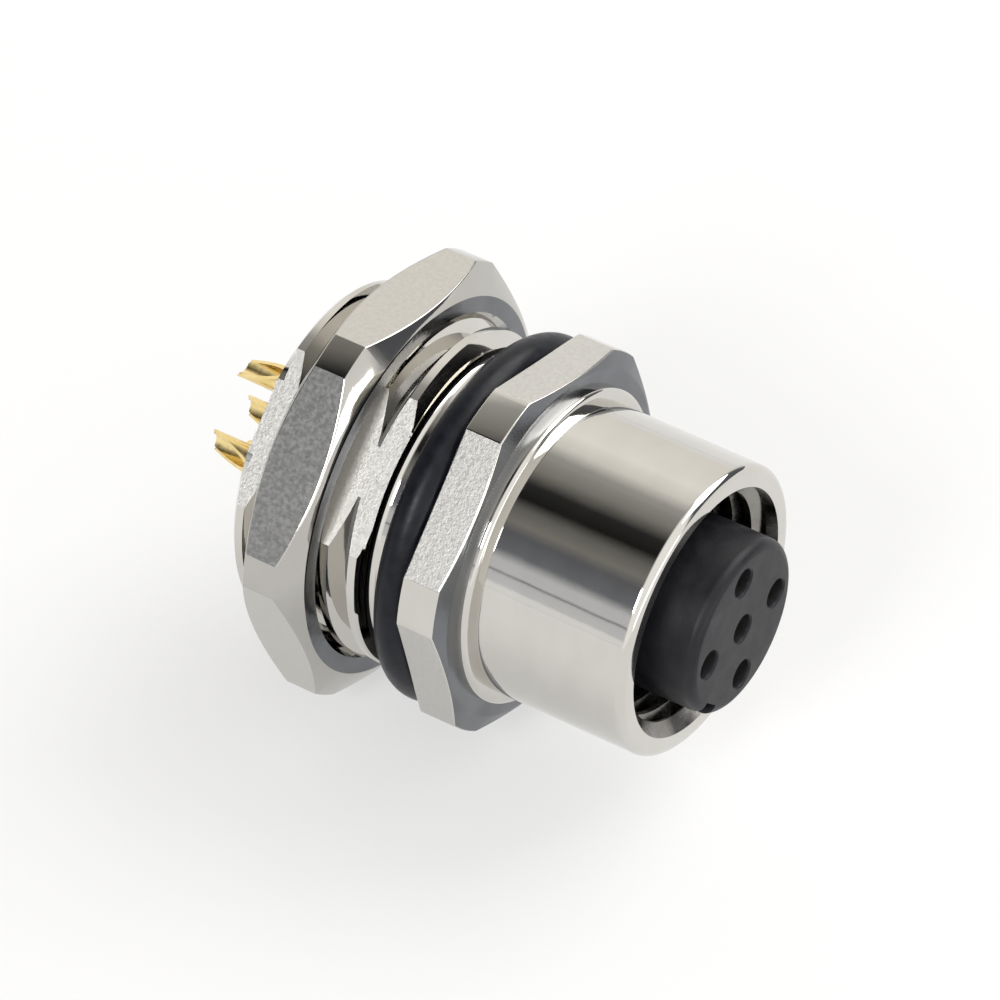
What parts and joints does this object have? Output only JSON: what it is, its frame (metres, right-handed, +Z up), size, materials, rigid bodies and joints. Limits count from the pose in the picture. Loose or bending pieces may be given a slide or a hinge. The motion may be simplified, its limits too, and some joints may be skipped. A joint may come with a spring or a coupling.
{
  "type": "panel-mount circular connector socket",
  "caption": "Threaded metal panel socket with hexagonal flange, sealing ring, lock nut, dark contact insert and gold solder cups behind.",
  "frame": {"origin": "on the mating axis, in the plane of the panel, which is the flange's rear face", "axes": "-Y out of the mating face, +Y out of the solder cups, +Z up"},
  "size_m": [0.021, 0.0266, 0.0202],
  "materials": {
    "nickel": "nickel plate over turned brass, polished, with milled flats left rough",
    "black_rubber": "smooth moulded rubber with a soft sheen",
    "dark_plastic": "moulded dark grey plastic, matte",
    "gold": "gold flash over turned brass"
  },
  "bodies": {
    "housing": {"shell": "nickel", "panel_seal": "black_rubber", "insert": "dark_plastic", "insert_seal": "black_rubber", "rear_insulator": "dark_plastic", "contact_1": "gold", "contact_2": "gold", "contact_3": "gold", "contact_4": "gold", "contact_5": "gold"},
    "nut": {"lock_nut": "nickel"}
  },
  "joints": [
    {"name": "nut_travel", "type": "slide", "parent": "housing", "child": "nut", "axis": [0, 1, 0], "range_m": [-0.003, 0.0105]}
  ]
}
